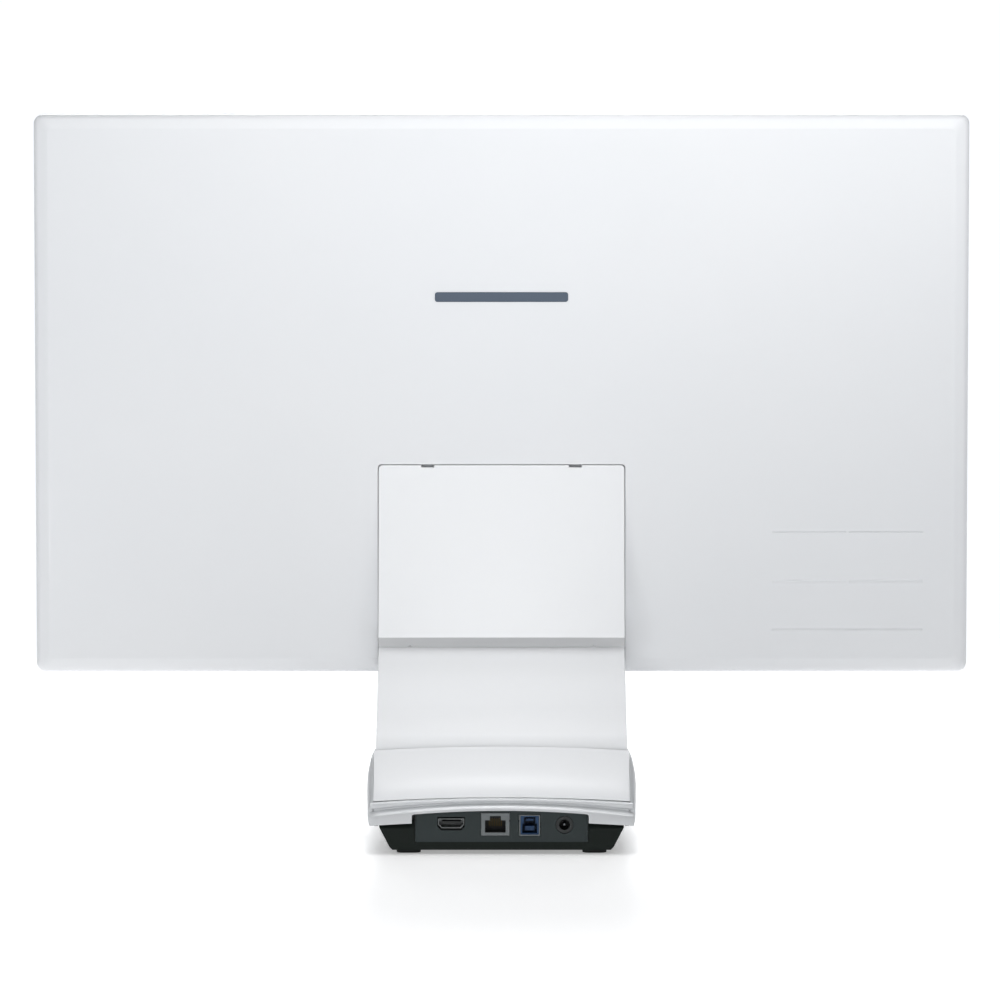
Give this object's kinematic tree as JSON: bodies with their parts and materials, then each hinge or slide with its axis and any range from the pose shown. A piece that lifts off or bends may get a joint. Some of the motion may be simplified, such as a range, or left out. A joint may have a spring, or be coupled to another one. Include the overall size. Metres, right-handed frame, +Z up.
{
  "type": "all in one pc",
  "caption": "Flat wide screen on a short, wide folding neck that leans over a wedge-shaped docking base with sockets at its rear.",
  "frame": {"origin": "centre of the overall box on X and Y, at the underside of the rubber feet", "axes": "+X to the viewer's right when facing the screen, -Y is the screen side and +Y the socket side, +Z up"},
  "size_m": [0.546, 0.19, 0.4266],
  "materials": {
    "pearl_white": "glossy pearl white",
    "white_gloss": "glossy white",
    "silver_gloss": "satin silver paint",
    "dark_plastic": "fine moulded texture",
    "port_grey": "matt",
    "socket_black": "matt",
    "socket_dark": "dark plated",
    "socket_metal": "tin plated",
    "gold_contacts": "gold plated",
    "usb_blue": "satin",
    "board_green": "solder mask",
    "chip_black": "matt",
    "bare_aluminium": "rolled",
    "zinc_steel": "zinc plated",
    "screw_steel": "nickel plated",
    "washer_brass": "plain",
    "foot_rubber": "matt",
    "touch_black": "glossy black",
    "cable_black": "woven tape",
    "screen_glass": "anti-glare coated panel",
    "guide_acrylic": "clear acrylic",
    "led_strip": "white board with yellow emitters",
    "slate_grey": "satin"
  },
  "bodies": {
    "base": {"base_chassis": "dark_plastic", "base_frame": "zinc_steel", "hinge_bracket_left": "zinc_steel", "hinge_bracket_right": "zinc_steel", "base_top_cover": "white_gloss", "side_trim_left": "silver_gloss", "side_trim_right": "silver_gloss", "rear_trim": "silver_gloss", "front_trim": "silver_gloss", "port_panel": "port_grey", "hdmi_shell": "socket_dark", "hdmi_insert": "socket_black", "lan_shell": "socket_metal", "lan_insert": "socket_black", "lan_contacts": "gold_contacts", "usb_b_shell": "socket_metal", "usb_b_insert": "usb_blue", "dc_jack_body": "socket_black", "dc_jack_pin": "socket_metal", "usb_a_shells": "socket_metal", "usb_a_inserts": "usb_blue", "main_board": "board_green", "board_chips": "chip_black", "heat_sink": "bare_aluminium", "usb_board": "board_green", "speakers": "socket_black", "rubber_feet": "foot_rubber", "base_screws": "screw_steel", "frame_screws": "screw_steel", "touch_strip": "touch_black", "key_board": "board_green"},
    "button": {"power_button": "silver_gloss"},
    "neck": {"neck_frame": "zinc_steel", "neck_rear_cover": "white_gloss", "neck_front_cover": "white_gloss", "neck_screws": "screw_steel", "neck_cable": "cable_black", "lower_hinge_shafts": "screw_steel", "lower_hinge_washers": "washer_brass", "lower_hinge_nuts": "screw_steel", "upper_hinge_shafts": "screw_steel", "upper_hinge_washers": "washer_brass", "upper_hinge_nuts": "screw_steel"},
    "screen": {"rear_cover": "pearl_white", "hinge_cover": "white_gloss", "front_bezel": "touch_black", "lcd_cell": "screen_glass", "light_guide": "guide_acrylic", "led_bar": "led_strip", "backlight_tray": "bare_aluminium", "timing_board": "board_green", "head_bracket": "zinc_steel", "head_bracket_screws": "screw_steel", "badge": "slate_grey"}
  },
  "joints": [
    {"name": "neck_tilt", "type": "hinge", "parent": "base", "child": "neck", "pos_m": [0, 0.055, 0.0595], "axis": [-1, 0, 0], "range_deg": [-25, 10]},
    {"name": "screen_tilt", "type": "hinge", "parent": "neck", "child": "screen", "pos_m": [0, 0.037, 0.113], "axis": [-1, 0, 0], "range_deg": [-10, 30]},
    {"name": "power_button_press", "type": "slide", "parent": "base", "child": "button", "axis": [0, 0, -1], "range_m": [0, 0.0008], "stiffness_N_per_m": 600, "springref_m": -0.0005}
  ]
}
